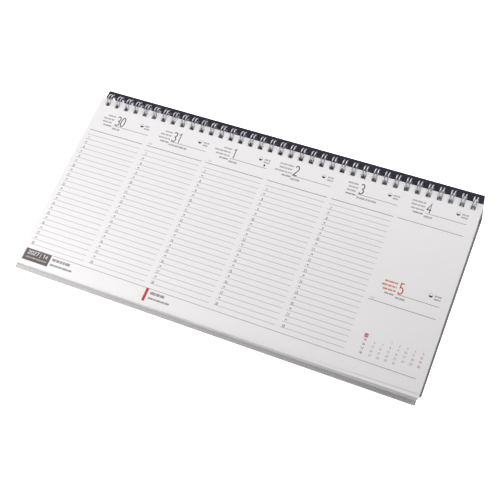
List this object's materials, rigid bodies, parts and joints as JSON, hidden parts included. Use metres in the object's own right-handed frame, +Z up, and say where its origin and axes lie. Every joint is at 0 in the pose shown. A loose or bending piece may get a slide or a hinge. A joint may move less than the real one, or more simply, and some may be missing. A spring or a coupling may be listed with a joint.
{
  "type": "desk calendar",
  "caption": "Sloping desk calendar: a wide page block bound with twin-loop wire to a card stand folded into a low wedge.",
  "frame": {"origin": "middle of the base panel's underside, on the table", "axes": "+X along the ring row, +Y from the low front edge to the high back, +Z up"},
  "size_m": [0.3196, 0.185, 0.0552],
  "materials": {
    "stand_card": "laminated card, dark navy outside, pale grey inside",
    "page_paper": "smooth white offset paper",
    "binding_wire": "silver coated round wire"
  },
  "bodies": {
    "stand": {"folded_stand": "stand_card", "twin_loop_wire": "binding_wire"},
    "pages": {"page_block": "page_paper"}
  },
  "joints": [
    {"name": "pages_turn", "type": "hinge", "parent": "stand", "child": "pages", "pos_m": [0, 0.05968, 0.05005], "axis": [-1, 0, 0], "range_deg": [0, 180]}
  ]
}
